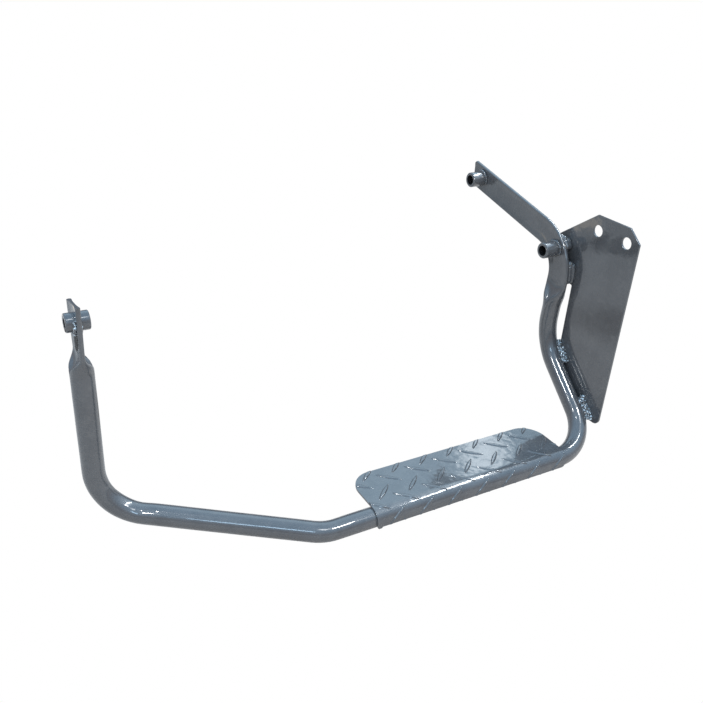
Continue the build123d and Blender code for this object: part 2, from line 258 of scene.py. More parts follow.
def enamel(name, peel=1.0, waves=1.0, grime=0.35, specks=0.5, painted_glints=0.0, coat_rough=0.035):
    """Slate enamel: peel and waves are the height of its fine and slow bumps, and a share of pale
    specks can be painted in as glints.
    """
    material, tree, shader = principled(name)
    where = tree.add("ShaderNodeTexCoord", output="Object")

    cloud = tree.noise(where, 26.0, 3.0, 0.55)
    patch = tree.ramp(cloud, 0.38, 0.66)
    colour = tree.blend(patch, ENAMEL_DEEP, ENAMEL)
    thin = tree.ramp(tree.noise(where, 90.0, 2.0), 0.52, 0.74, 0.0, 0.5)
    colour = tree.blend(thin, colour, ENAMEL_THIN)
    speck_size = tree.add("ShaderNodeTexVoronoi", {"Vector": where, "Scale": 420.0, "Randomness": 1.0})
    rare = tree.ramp(tree.noise(where, 160.0, 0.0), 0.60, 0.68)
    speck = tree.times(tree.ramp(speck_size, 0.10, 0.24, 1.0, 0.0), rare)
    colour = tree.blend(tree.times(speck, specks * 0.5), colour, SPECK_GREY)
    dust = tree.ramp(tree.noise(where, 55.0, 5.0, 0.7), 0.55, 0.80, 0.0, grime)
    colour = tree.blend(dust, colour, DUST)
    # Painted glints: pale bluish specks in the base colour stand in for highlights on the weld lumps.
    if painted_glints:
        painted_glint_share = tree.ramp(tree.noise(where, 380.0, 2.0, 0.6), 0.53, 0.57, 0.0, painted_glints)
        colour = tree.blend(painted_glint_share, colour, PAINTED_GLINT_COLOUR)

    rough = tree.ramp(tree.noise(where, 70.0, 4.0, 0.6), 0.35, 0.75, 0.22, 0.36)
    fine = tree.times(tree.noise(where, 620.0, 2.0), 0.10 * peel * MM)
    slow = tree.times(tree.noise(where, 75.0, 1.0), 0.55 * waves * MM)
    lump = tree.times(speck, 0.05 * specks * MM)
    height = tree.plus(tree.plus(fine, slow), lump)
    bump = tree.add("ShaderNodeBump", {"Height": height, "Strength": 0.8, "Distance": 1.0})
    tree.feed(shader, {
        "Base Color": colour, "Roughness": rough, "IOR": 1.5, "Coat Weight": 1.0,
        "Coat Roughness": coat_rough, "Coat IOR": 1.75, "Normal": bump, "Coat Normal": bump,
    })
    return material


TUBE_ENAMEL = enamel("tube_gloss", peel=0.10, waves=0.25)
PLATE_ENAMEL = enamel("plate_gloss", peel=0.10, waves=0.22, specks=0.2)
TREAD_ENAMEL = enamel("tread_gloss", peel=0.20, waves=0.40, grime=0.45, specks=0.8)
WELD_ENAMEL = enamel("weld_gloss", peel=0.4, waves=0.5, grime=0.9, coat_rough=0.08)
# Weld paint with painted glints: pale specks in its colour stand in for highlights.
PAINTED_GLINT_ENAMEL = enamel("weld_painted_glint_gloss", peel=0.8, waves=0.8, grime=0.6, painted_glints=0.9, coat_rough=0.08)
BUSH_ENAMEL = enamel("bush_gloss", peel=0.25, waves=0.3)

# Painted shade for the bores: a near-black, dull material that stands in for the shade deep in a hole.
BORE_PAINTED_SHADE, bore_tree, bore_shader = principled("bore_painted_shade")
bore_tree.feed(bore_shader, {
    "Base Color": (0.012, 0.012, 0.013, 1.0), "Roughness": 0.6, "Specular IOR Level": 0.2,
})

# %% [markdown]
# ## From a bmesh to a finished piece
# Every piece ends the same way: its faces are made to point outwards, it is shaded smooth
# except across sharp corners, it gets its enamel, and it is put in the scene at the origin.

# %% Finishing helpers
SMOOTH_ANGLE = 35.0
BEVEL_ANGLE = 38.0
MERGE_GAP = 0.01 * MM


def apply_modifiers(piece):
    """Turns a piece's modifiers into plain mesh."""
    depsgraph = bpy.context.evaluated_depsgraph_get()
    mesh = bpy.data.meshes.new_from_object(piece.evaluated_get(depsgraph))
    piece.modifiers.clear()
    old = piece.data
    piece.data = mesh
    bpy.data.meshes.remove(old)
    return piece


def mesh_piece(name, bm):
    """An object from a bmesh, with its doubles merged and its faces turned outwards."""
    bmesh.ops.remove_doubles(bm, verts=bm.verts, dist=MERGE_GAP)
    bmesh.ops.recalc_face_normals(bm, faces=bm.faces)
    mesh = bpy.data.meshes.new(name)
    bm.to_mesh(mesh)
    bm.free()
    return scene_object(name, mesh)


def shade_smooth(piece, sharp_angle):
    """Smooth faces, apart from the edges sharper than an angle."""
    piece.data.set_sharp_from_angle(angle=radians(sharp_angle))
    for face in piece.data.polygons:
        face.use_smooth = True


def soft_edges(piece, width, segments=2):
    """Rounds the sharp edges as a coat of paint does; weighted normals keep the flats flat."""
    bevel = piece.modifiers.new("paint_round", "BEVEL")
    bevel.width = width
    bevel.segments = segments
    bevel.limit_method = "ANGLE"
    bevel.angle_limit = radians(BEVEL_ANGLE)
    apply_modifiers(piece)
    shade_smooth(piece, SMOOTH_ANGLE)
    weighted = piece.modifiers.new("flat_faces", "WEIGHTED_NORMAL")
    weighted.keep_sharp = True
    weighted.weight = 100
    return apply_modifiers(piece)


def finish_piece(piece, material, *nodes, smooth_angle=SMOOTH_ANGLE):
    """Paints a piece, makes it ride on the part and hides the nodes of the model that it replaces."""
    piece.data.materials.clear()
    piece.data.materials.append(material)
    for face in piece.data.polygons:
        face.material_index = 0
    shade_smooth(piece, smooth_angle)
    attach(piece, "root")
    if nodes:
        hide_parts(*nodes)
    triangles = sum(len(face.vertices) - 2 for face in piece.data.polygons)
    print(piece.name, triangles, "triangles")
    return piece


# %% [markdown]
# ## The tube, ring by ring
# A bent tube is a section carried along a line. The line is straight runs joined by arcs, and
# the section is a circle until the press closed it to a flat strip. Writing the rings by hand,
# and not with a curve's bevel, lets each one have its own width, thickness and dents.

# %% Line of the tube


def rounded_line(points, radii, spacing):
    """Stations (place, way) along straight runs with an arc at each corner point."""
    stations = []
    here = points[0]
    for index in range(1, len(points)):
        corner = points[index]
        way_in = (corner - points[index - 1]).normalized()
        last = index == len(points) - 1
        end = corner
        if not last:
            way_out = (points[index + 1] - corner).normalized()
            bend = way_in.angle(way_out)
            radius = radii[index - 1]
            end = corner - way_in * (radius * tan(bend / 2))
        steps = max(1, ceil((end - here).length / spacing))
        for step in range(steps):
            stations.append((here + (end - here) * (step / steps), way_in))
        here = end
        if not last:
            axis = way_in.cross(way_out).normalized()
            middle = end + axis.cross(way_in) * radius
            steps = max(2, ceil(bend * radius / spacing))
            for step in range(steps):
                spin = Matrix.Rotation(bend * step / steps, 3, axis)
                stations.append((middle + spin @ (end - middle), spin @ way_in))
            spin = Matrix.Rotation(bend, 3, axis)
            here = middle + spin @ (end - middle)
    stations.append((here, way_in))
    return stations


LINE_STEP = 3.0 * MM
BLADE_END = LEFT_TOP + Z_WAY * 4.0 * MM
ARM_END = ARM_TIP + ARM_WAY * 12.0 * MM
LINE = rounded_line(
    [BLADE_END, LEFT_CORNER, RUN_LEFT, RUN_RIGHT, KINK, ARM_BEND, ARM_END],
    [BEND_R, BEND_R, BEND_R, KINK_R, BEND_R], LINE_STEP,
)
print("stations on the tube's line:", len(LINE))

# %% Section of the tube


def ease(value):
    """Smooth rise from 0 to 1."""
    value = min(max(value, 0.0), 1.0)
    return value * value * (3 - 2 * value)


def press_shares(here):
    """How far the press has closed the tube at a point: at its left end and at its arm."""
    left = 0.0
    if here.x < LEFT_X + 20 * MM:
        left = min(max((here.z - ROUND_LEFT.z) / (FLAT_LEFT.z - ROUND_LEFT.z), 0.0), 1.0)
    right = 0.0
    if here.x > RIGHT_X - 1 * MM and here.y > KINK.y - 60 * MM:
        along = (here - ROUND_RIGHT).dot(LEG_WAY) / (FLAT_RIGHT - ROUND_RIGHT).length
        right = min(max(along, 0.0), 1.0)
        if here.z > BEND_START.z:
            right = 1.0
    return left, right


def pressed_ring(wide, thin, hollow, swell, count):
    """Points of a section: a circle until it is pressed, then two flats with round ends.

    A closed tube is never a plain strip. Its folded ends swell past the two walls by the share
    swell, and the middle of each face sinks by the share hollow.
    """
    ring = []
    flat = max(wide - thin, 0.0)
    pressed = min(1.0, flat / (8 * MM))
    cap = radians(90 - 30 * pressed)
    for index in range(count):
        angle = 2 * pi * index / count
        quarter = min(angle % pi, pi - angle % pi)
        right = 1 if cos(angle) >= 0 else -1
        top = 1 if angle <= pi else -1
        if quarter < cap:
            around = quarter / cap * pi / 2
            across, through = flat + thin * cos(around), thin * sin(around)
            edge = 1.0
        else:
            edge = (pi / 2 - quarter) / (pi / 2 - cap) if cap < pi / 2 - 1e-6 else 0.0
            across, through = flat * edge, thin
        bulge = swell * ease((edge - 0.55) / 0.45) - hollow * (1 - edge * edge) ** 2
        ring.append((across * right, through * (1 + pressed * bulge) * top))
    return ring


RING = 72
BLADE_TWIST = radians(3.0)
# How far the faces sink and the folded ends swell, as shares
BLADE_PRESS = (0.22, 0.32)
ARM_PRESS = (0.12, 0.36)


def tube_sections():
    """Place, width axis, thickness axis and half sizes for each ring of the tube."""
    sections = []
    width_way = LINE[0][1].cross(X_WAY).normalized()
    ways = []
    last = LINE[0][1]
    for here, way in LINE:
        turn_by = last.rotation_difference(way)
        width_way = (turn_by @ width_way).normalized()
        width_way = (width_way - way * width_way.dot(way)).normalized()
        ways.append(width_way.copy())
        last = way
    wanted = LINE[-1][1].cross(X_WAY).normalized()
    twist = atan2(ways[-1].cross(wanted).dot(LINE[-1][1]), ways[-1].dot(wanted))
    start = next(i for i, station in enumerate(LINE) if press_shares(station[0])[0] == 0.0)
    stop = next(i for i in range(start, len(LINE)) if press_shares(LINE[i][0])[1] > 0.0)
    for index, (here, way) in enumerate(LINE):
        share = min(max((index - start) / (stop - start), 0.0), 1.0)
        width_way = Matrix.Rotation(twist * share, 3, way) @ ways[index]
        left, right = press_shares(here)
        shut_left = (1 - cos(pi * left)) / 2
        shut_right = (1 - cos(pi * right)) / 2
        shut = max(shut_left, shut_right)
        wide = TUBE_R + (FLAT_WIDTH / 2 - TUBE_R) * shut
        thin = TUBE_R + (TUBE_WALL - TUBE_R) * shut
        thick_way = way.cross(width_way).normalized()
        shift = Vector((-BLADE_OFFSET, 0, 0)) * shut_left
        hollow, swell = BLADE_PRESS if shut_left > 0 else ARM_PRESS
        if shut_left > 0:
            lean = BLADE_TWIST * ease((here.z - FLAT_LEFT.z + 10 * MM) / (60 * MM))
            width_way = Matrix.Rotation(lean, 3, Z_WAY) @ width_way
            thick_way = Matrix.Rotation(lean, 3, Z_WAY) @ thick_way
        ring = pressed_ring(wide, thin, hollow, swell, RING)
        sections.append((here + shift, width_way, thick_way, ring, 1.0 - shut))
    return sections


# %% [markdown]
# Bending and handling leave marks: the inside of the first bend is pressed a little flat, and
# the whole round tube waves by a tenth or two of a millimetre, which makes a highlight wander.

# %% Dents
DENTS = [
    (place(LEFT_X + 34 * MM, 96.5, 40.6), 34 * MM, 0.8 * MM),
    (place(LEFT_X + 46 * MM, 104.5, 37.0), 21 * MM, 1.1 * MM),
    (place(LEFT_X + 13 * MM, 128, 52), 22 * MM, 0.7 * MM),
    (place(RIGHT_X - 430 * MM, -2, 13), 26 * MM, 0.5 * MM),
    (place(RIGHT_X - 10 * MM, 112, 118), 24 * MM, 0.6 * MM),
]


def dented(spot, out, roundness):
    """A point of the tube moved along its outward way by dents and by slow waves."""
    depth = noise.noise(spot * 32.0) * 0.10 * MM + noise.noise(spot * 11.0) * 0.14 * MM
    for centre, reach, deep in DENTS:
        gap = (spot - centre).length / reach
        if gap < 1.0:
            depth -= deep * ease(1.0 - gap)
    return spot + out * depth * (0.35 + 0.65 * roundness)


# %% The tube


def join_rings(bm, rings, closed=False):
    """Faces between rings of vertices; closed joins the last ring to the first as well."""
    for near, far_ring in zip(rings, rings[1:] + (rings[:1] if closed else [])):
        for index in range(len(near)):
            after = (index + 1) % len(near)
            bm.faces.new((near[index], near[after], far_ring[after], far_ring[index]))


def tube_mesh():
    bm = bmesh.new()
    rings = []
    for here, width_way, thick_way, section, roundness in tube_sections():
        ring = []
        for across, through in section:
            arm = width_way * across + thick_way * through
            ring.append(bm.verts.new(dented(here + arm, arm.normalized(), roundness)))
        rings.append(ring)
    join_rings(bm, rings)
    bm.faces.new(list(reversed(rings[0])))
    bm.faces.new(rings[-1])
    return bm


def box_bm(size, matrix):
    bm = bmesh.new()
    bmesh.ops.create_cube(bm, size=1.0, matrix=matrix @ Matrix.Diagonal((*size, 1.0)))
    return bm


def rod_bm(centre, radius, length, segments=64):
    """Round bar along X about a centre."""
    bm = bmesh.new()
    matrix = Matrix.Translation(centre) @ Matrix.Rotation(pi / 2, 4, "Y")
    bmesh.ops.create_cone(bm, cap_ends=True, segments=segments, radius1=radius, radius2=radius,
                          depth=length, matrix=matrix)
    return bm


def cut_away(piece, tools):
    for tool in tools:
        boolean = piece.modifiers.new("cut", "BOOLEAN")
        boolean.operation = "DIFFERENCE"
        boolean.solver = "EXACT"
        boolean.object = tool
    apply_modifiers(piece)
    for tool in tools:
        bpy.data.objects.remove(tool)
    return piece


def step_tube():
    piece = mesh_piece("step_tube_shell", tube_mesh())
    big, through = 200 * MM, 60 * MM
    past_arm = Matrix.Translation((RIGHT_X, ARM_TIP.y + big / 2, ARM_TIP.z))
    top_corner = ARM_TIP + Z_WAY * (FLAT_WIDTH / 2 / cos(ARM_ANGLE))
    clip = Matrix.Translation(top_corner) @ Matrix.Rotation(radians(45), 4, "X")
    blade_cut = Matrix.Translation((LEFT_TOP.x, LEFT_TOP.y - FLAT_WIDTH / 2, LEFT_TOP.z))
    blade_cut = blade_cut @ Matrix.Rotation(radians(-6), 4, "X") @ Matrix.Translation((0, 0, big / 2))
    tools = [
        mesh_piece("arm_cut", box_bm((big, big, big), past_arm)),
        mesh_piece("arm_clip", box_bm((big, 6 * MM, 6 * MM), clip)),
        mesh_piece("blade_cut", box_bm((big, big, big), blade_cut)),
        mesh_piece("kink_bore", rod_bm(KINK_BUSH, ARM_BUSH_BORE, through)),
        mesh_piece("tip_bore", rod_bm(TIP_BUSH, ARM_BUSH_BORE, through)),
        mesh_piece("blade_bore", rod_bm(BLADE_BUSH, BLADE_BUSH_R - 1 * MM, through)),
    ]
    cut_away(piece, tools)
    soft_edges(piece, 0.5 * MM, 2)
    return finish_piece(piece, TUBE_ENAMEL, "step_tube")


step_tube()

# %% [markdown]
# ## The folded tread
# Checker plate is easiest to draw flat. A point on the flat sheet has an x along the tread and
# a v across it, which is zero where the fold starts, positive back over the tread and negative
# over the fold and down the front flange. One function wraps that flat drawing over the tube.

# %% Wrapping the flat sheet
FLANGE_CUT_LEFT, FLANGE_CUT_RIGHT = 1.5 * MM, 5.5 * MM
FLANGE_ROWS, FOLD_ROWS, FLAT_ROWS, CORNER_ROWS = 6, 24, 18, 28
SHEET_COLUMNS = 120


def wrap(x, v, lift):
    """Place in the scene of a point on the flat sheet, lifted off its outer face."""
    angle = min(max(-v / FOLD_R, 0.0), pi / 2)
    back = max(v, 0.0)
    down = max(-v - FOLD_ARC, 0.0)
    reach = FOLD_R + lift
    return Vector((x, RUN.y + back - reach * sin(angle), RUN.z + reach * cos(angle) - down))


def sheet_rows():
    """Rows (v, left x, right x) of the sheet's flat outline, from the flange's edge to the back."""
    rows = []
    low = -FOLD_ARC - FLANGE
    for step in range(FLANGE_ROWS + 1):
        share = step / FLANGE_ROWS
        v = low + FLANGE * share
        left = max(0.0, FLANGE_CUT_LEFT - FLANGE * share)
        right = max(0.0, FLANGE_CUT_RIGHT - FLANGE * share)
        rows.append((v, left, right))
    for step in range(1, FOLD_ROWS + 1):
        rows.append((-FOLD_ARC * (1 - step / FOLD_ROWS), 0.0, 0.0))
    straight = TREAD_DEPTH - TREAD_CORNER
    for step in range(1, FLAT_ROWS + 1):
        rows.append((straight * step / FLAT_ROWS, 0.0, 0.0))
    for step in range(1, CORNER_ROWS + 1):
        angle = pi / 2 * step / CORNER_ROWS
        v = straight + TREAD_CORNER * sin(angle)
        inset = TREAD_CORNER * (1 - cos(angle))
        rows.append((v, inset, inset))
    return rows


def tread_sheet():
    bm = bmesh.new()
    columns = SHEET_COLUMNS
    top, bottom = [], []
    for v, left, right in sheet_rows():
        for grid, lift in ((top, 0.0), (bottom, -SHEET)):
            row = []
            for column in range(columns + 1):
                share = column / columns
                x = (TREAD_LEFT + left) * (1 - share) + (TREAD_RIGHT - right) * share
                row.append(bm.verts.new(wrap(x, v, lift)))
            grid.append(row)
    for r in range(len(top) - 1):
        for c in range(columns):
            bm.faces.new((top[r][c], top[r][c + 1], top[r + 1][c + 1], top[r + 1][c]))
            bm.faces.new((bottom[r][c], bottom[r + 1][c], bottom[r + 1][c + 1], bottom[r][c + 1]))
    for r in range(len(top) - 1):
        bm.faces.new((top[r][0], top[r + 1][0], bottom[r + 1][0], bottom[r][0]))
        bm.faces.new((top[r][-1], bottom[r][-1], bottom[r + 1][-1], top[r + 1][-1]))
    for c in range(columns):
        bm.faces.new((top[0][c], bottom[0][c], bottom[0][c + 1], top[0][c + 1]))
        bm.faces.new((top[-1][c], top[-1][c + 1], bottom[-1][c + 1], bottom[-1][c]))
    piece = mesh_piece("tread_sheet", bm)
    soft_edges(piece, 0.55 * MM, 3)
    return finish_piece(piece, TREAD_ENAMEL, "tread_plate")


tread_sheet()

# %% [markdown]
# ## Raised lugs
# The lugs repeat, so Geometry Nodes make them. One lug is a fine block whose top is pulled into
# a lens shape. Two lattices of points, one for each slant, carry copies of it over the flat
# sheet. A Boolean keeps what lies inside the sheet's outline, and the last step wraps the lot
# over the fold with the same sum as wrap() above.

# %% Lug tree
LUG_LENGTH = 37.0 * MM
LUG_WIDTH = 5.0 * MM
LUG_HEIGHT = 1.2 * MM
LUG_SKIRT = 0.6 * MM
LUG_SINK = 0.5 * MM
LUG_PITCH = 45.3 * MM
LUG_ROW_PITCH = 42.6 * MM
LUG_ANGLE = radians(40.5)
LUG_FIRST = 29.25 * MM
LUG_FORWARD = 20.8 * MM
LUG_BACKWARD = 2.9 * MM
SOCKET_KINDS = {float: "Float", int: "Int", tuple: "Vector"}


def start_tree(name, values):
    """A new tree, its inputs and their identifiers; a text names a kind that has no value."""
    group = bpy.data.node_groups.new(name, "GeometryNodeTree")
    found = {}
    for label, value in values.items():
        kind = value if isinstance(value, str) else SOCKET_KINDS[type(value)]
        socket = group.interface.new_socket(label, in_out="INPUT", socket_type="NodeSocket" + kind)
        if kind != value:
            socket.default_value = value
        found[label] = socket.identifier
    group.interface.new_socket("Geometry", in_out="OUTPUT", socket_type="NodeSocketGeometry")
    return Tree(group), group.nodes.new("NodeGroupInput").outputs, found


def end_tree(tree, geometry, material):
    """The last nodes of a Geometry Nodes tree: its material, then its output."""
    painted = tree.add("GeometryNodeSetMaterial", {"Geometry": geometry, "Material": material})
    tree.feed(tree.tree.nodes.new("NodeGroupOutput"), {0: painted})


def lug_tree():
    tree, given, found = start_tree("checker_lugs", {
        "Blank": "Object", "Length": LUG_LENGTH, "Width": LUG_WIDTH, "Height": LUG_HEIGHT,
        "Skirt": LUG_SKIRT, "Sink": LUG_SINK, "Pitch": LUG_PITCH, "Row Pitch": LUG_ROW_PITCH,
        "Slant": LUG_ANGLE, "Fold Radius": FOLD_R, "Enamel": "Material",
    })
    math, times, plus, minus = tree.math, tree.times, tree.plus, tree.minus

    # One lug, lying along X: the share of the way to its tip sets its width and height there
    total = plus(given["Length"], given["Skirt"])
    block = tree.add("GeometryNodeMeshCube", {
        "Size": (1.0, 1.0, 1.0), "Vertices X": 37, "Vertices Y": 13, "Vertices Z": 2,
    })
    block_x, block_y, block_z = tree.split(tree.add("GeometryNodeInputPosition"))
    tip = times(block_x, 2.0)
    side = times(block_y, 2.0)
    tip_square = times(tip, tip)
    half_lens = times(minus(1.0, tip_square), times(given["Width"], 0.5))
    half_here = plus(half_lens, times(given["Skirt"], 0.9))
    across = times(side, half_here)
    inside = minus(half_here, math("ABSOLUTE", across))
    flank = tree.ramp(math("DIVIDE", inside, times(given["Skirt"], 2.0)), 0.0, 1.0)
    crown = minus(1.0, times(times(side, side), 0.10))
    end = tree.ramp(minus(1.0, math("ABSOLUTE", tip)), 0.0, 0.16)
    lift = times(times(flank, crown), times(end, given["Height"]))
    is_top = math("GREATER_THAN", block_z, 0.0)
    under = times(given["Sink"], -1.0)
    z = plus(times(is_top, lift), times(minus(1.0, is_top), under))
    shaped = tree.add("ShaderNodeCombineXYZ", {
        "X": times(block_x, total), "Y": across, "Z": minus(z, 0.02 * MM),
    })
    lug = tree.add("GeometryNodeSetPosition", {"Geometry": block, "Position": shaped})

    # Two lattices over the flat sheet, one for each slant
    copies = []
    columns = int((TREAD_RIGHT - TREAD_LEFT) / LUG_PITCH) + 3
    for slant, first_x, first_v in ((1.0, 0.0, LUG_FORWARD), (-1.0, LUG_PITCH / 2, LUG_BACKWARD)):
        grid = tree.add("GeometryNodeMeshGrid", {
            "Size X": times(given["Pitch"], float(columns - 1)),
            "Size Y": times(given["Row Pitch"], 3.0),
            "Vertices X": columns, "Vertices Y": 4,
        })
        middle_x = TREAD_LEFT + LUG_FIRST + first_x + LUG_PITCH * ((columns - 1) / 2 - 1)
        middle_v = first_v + LUG_ROW_PITCH * 0.5
        place_at = (middle_x, middle_v, 0.0)
        moved = tree.add("GeometryNodeTransform", {"Geometry": grid, "Translation": place_at})
        turned = tree.add("ShaderNodeCombineXYZ", {"Z": times(given["Slant"], slant)})
        spin = tree.add("FunctionNodeEulerToRotation", {"Euler": turned})
        copies.append(tree.add("GeometryNodeInstanceOnPoints",
                               {"Points": moved, "Instance": lug, "Rotation": spin}))
    joined = tree.add("GeometryNodeJoinGeometry", {0: copies})
    flat = tree.add("GeometryNodeRealizeInstances", {"Geometry": joined})
    blank = tree.add("GeometryNodeObjectInfo", {"Object": given["Blank"]}, output="Geometry")
    cut = tree.add("GeometryNodeMeshBoolean", {"Mesh 2": [flat, blank]}, operation="INTERSECT",
                   solver="EXACT")

    # Wrap over the fold: Y of the flat drawing becomes an angle, then a drop
    flat_x, flat_v, flat_lift = tree.split(tree.add("GeometryNodeInputPosition"))
    minus_v = times(flat_v, -1.0)
    angle = math("MINIMUM", math("MAXIMUM", math("DIVIDE", minus_v, given["Fold Radius"]), 0.0), pi / 2)
    back = math("MAXIMUM", flat_v, 0.0)
    arc = times(given["Fold Radius"], pi / 2)
    down = math("MAXIMUM", minus(minus_v, arc), 0.0)
    reach = plus(given["Fold Radius"], flat_lift)
    y = minus(plus(back, RUN.y), times(reach, math("SINE", angle)))
    z = minus(plus(times(reach, math("COSINE", angle)), RUN.z), down)
    wrapped = tree.add("ShaderNodeCombineXYZ", {"X": flat_x, "Y": y, "Z": z})
    folded = tree.add("GeometryNodeSetPosition", {"Geometry": cut, "Position": wrapped})
    end_tree(tree, folded, given["Enamel"])
    return tree.tree, found


# %% Lay the lugs


def blank_mesh():
    """Flat blank that the lugs are trimmed to, just inside the sheet's edges."""
    margin = 0.7 * MM
    bm = bmesh.new()
    outline = []
    rows = sheet_rows()
    keep = [row for row in rows if row[0] < -FOLD_ARC or row[0] >= TREAD_DEPTH - TREAD_CORNER - 1e-9]
    low, high = rows[0][0] + margin, rows[-1][0] - margin
    for v, left, right in keep:
        outline.append((TREAD_LEFT + left + margin, min(max(v, low), high)))
    for v, left, right in reversed(keep):
        outline.append((TREAD_RIGHT - right - margin, min(max(v, low), high)))
    base = [bm.verts.new((x, v, -5 * MM)) for x, v in outline]
    face = bm.faces.new(base)
    grown = bmesh.ops.extrude_face_region(bm, geom=[face])
    for item in grown["geom"]:
        if isinstance(item, bmesh.types.BMVert):
            item.co.z += 10 * MM
    return bm


def tread_lugs():
    blank = mesh_piece("lug_blank", blank_mesh())
    carrier = mesh_piece("tread_lugs", box_bm((MM, MM, MM), Matrix()))
    group, found = lug_tree()
    layer = carrier.modifiers.new("lugs", "NODES")
    layer.node_group = group
    layer[found["Blank"]] = blank
    layer[found["Enamel"]] = TREAD_ENAMEL
    apply_modifiers(carrier)
    bpy.data.objects.remove(blank)
    return finish_piece(carrier, TREAD_ENAMEL, "tread_plate", smooth_angle=50.0)


tread_lugs()

# %% [markdown]
# ## The mounting plate
# The plate is flat steel with cut edges under paint. Its mesh comes from the model, merged,
# with the flat faces joined up again so that one small bevel can run round every edge and both
# holes.

# %% Plate


def merged_copy(node, name):
    """A copy of a node's mesh with its loose triangles welded and its flat faces joined."""
    bm = bmesh.new()
    bm.from_mesh(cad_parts[node].data)
    bmesh.ops.remove_doubles(bm, verts=bm.verts, dist=0.005 * MM)
    bmesh.ops.dissolve_limit(bm, angle_limit=radians(0.5), verts=bm.verts, edges=bm.edges)
    mesh = bpy.data.meshes.new(name)
    bm.to_mesh(mesh)
    bm.free()
    return scene_object(name, mesh)


def mounting_plate():
    piece = merged_copy("mounting_plate", "mounting_plate_painted")
    soft_edges(piece, 0.45 * MM, 3)
    return finish_piece(piece, PLATE_ENAMEL, "mounting_plate")


mounting_plate()

# %% [markdown]
# ## The bushes
# A bush is turned on a lathe, so its mesh is a profile spun about its axis: bore, chamfered
# face, rim and outside, with each corner softened.

# %% Bushes


def turned(name, centre, profile, segments=72):
    """Closed lathe shape about X; the profile is (x, radius) points in order."""
    bm = bmesh.new()
    rings = []
    for x, radius in profile:
        ring = []
        for index in range(segments):
            angle = 2 * pi * index / segments
            y, z = centre.y + radius * cos(angle), centre.z + radius * sin(angle)
            ring.append(bm.verts.new((x, y, z)))
        rings.append(ring)
    join_rings(bm, rings, closed=True)
    return mesh_piece(name, bm)


def round_corners(points, radius, steps=4):
    """A closed profile with each corner turned into a small arc."""
    rounded = []
    count = len(points)
    for index, (x, r) in enumerate(points):
        here = Vector((x, r))
        before = Vector(points[index - 1])
        after = Vector(points[(index + 1) % count])
        into = (before - here).normalized()
        out_of = (after - here).normalized()
        half = into.angle(out_of) / 2
        reach = min(radius / tan(half), 0.45 * (before - here).length, 0.45 * (after - here).length)
        if half > radians(86):
            rounded.append((x, r))
            continue
        start, end = here + into * reach, here + out_of * reach
        for step in range(steps + 1):
            share = step / steps
            spot = start * (1 - share) ** 2 + here * (2 * share * (1 - share)) + end * share ** 2
            rounded.append((spot.x, spot.y))
    return rounded


def bush_profile(start, end, outer, bore, open_end, edge):
    """Section of a bush from its chamfered start; its end is chamfered too where it is open."""
    points = [(start, bore), (start, outer - edge), (start + edge, outer)]
    if open_end:
        points += [(end - edge, outer), (end, outer - edge), (end, bore)]
    else:
        points += [(end, outer), (end, bore)]
    return round_corners(points, 0.45 * MM)


def paint_bore_shade(piece, centre, bore):
    """Painted shade: the inside of a bore gets a near-black, dull material, as the deep hole lies in
    shade.
    """
    piece.data.materials.append(BORE_PAINTED_SHADE)
    for face in piece.data.polygons:
        reach = Vector((face.center.y - centre.y, face.center.z - centre.z)).length
        if reach < bore + 0.12 * MM:
            face.material_index = 1


def lathe_bush(name, node, centre, start, end, outer, bore, open_end, edge):
    """Turns and paints one bush from x start to x end, and gives its bore painted shade."""
    profile = bush_profile(start, end, outer, bore, open_end, edge)
    bush = finish_piece(turned(name, centre, profile), BUSH_ENAMEL, node, smooth_angle=60)
    paint_bore_shade(bush, centre, bore)


ARM_SIZES = (ARM_NEAR_X - 24 * MM, ARM_NEAR_X, ARM_BUSH_R, ARM_BUSH_BORE, False, 1.0 * MM)
lathe_bush("kink_bush", "arm_bush_kink", KINK_BUSH, *ARM_SIZES)
lathe_bush("tip_bush", "arm_bush_tip", TIP_BUSH, *ARM_SIZES)
lathe_bush("blade_bush_turned", "blade_bush", BLADE_BUSH, BLADE_BUSH.x - 13 * MM,
           BLADE_BUSH.x + 13 * MM, BLADE_BUSH_R, BLADE_BUSH_BORE, True, 0.8 * MM)

# %% [markdown]
# ## Weld beads
# A bead of weld is a row of frozen puddles. Each one starts from the model's plain bead, and
# round lumps are added where the photograph shows the metal piled up. Geometry Nodes melt the
# two into one skin by way of a volume, smooth it, and then raise ripples and fine lumps on it.

# %% Weld tree


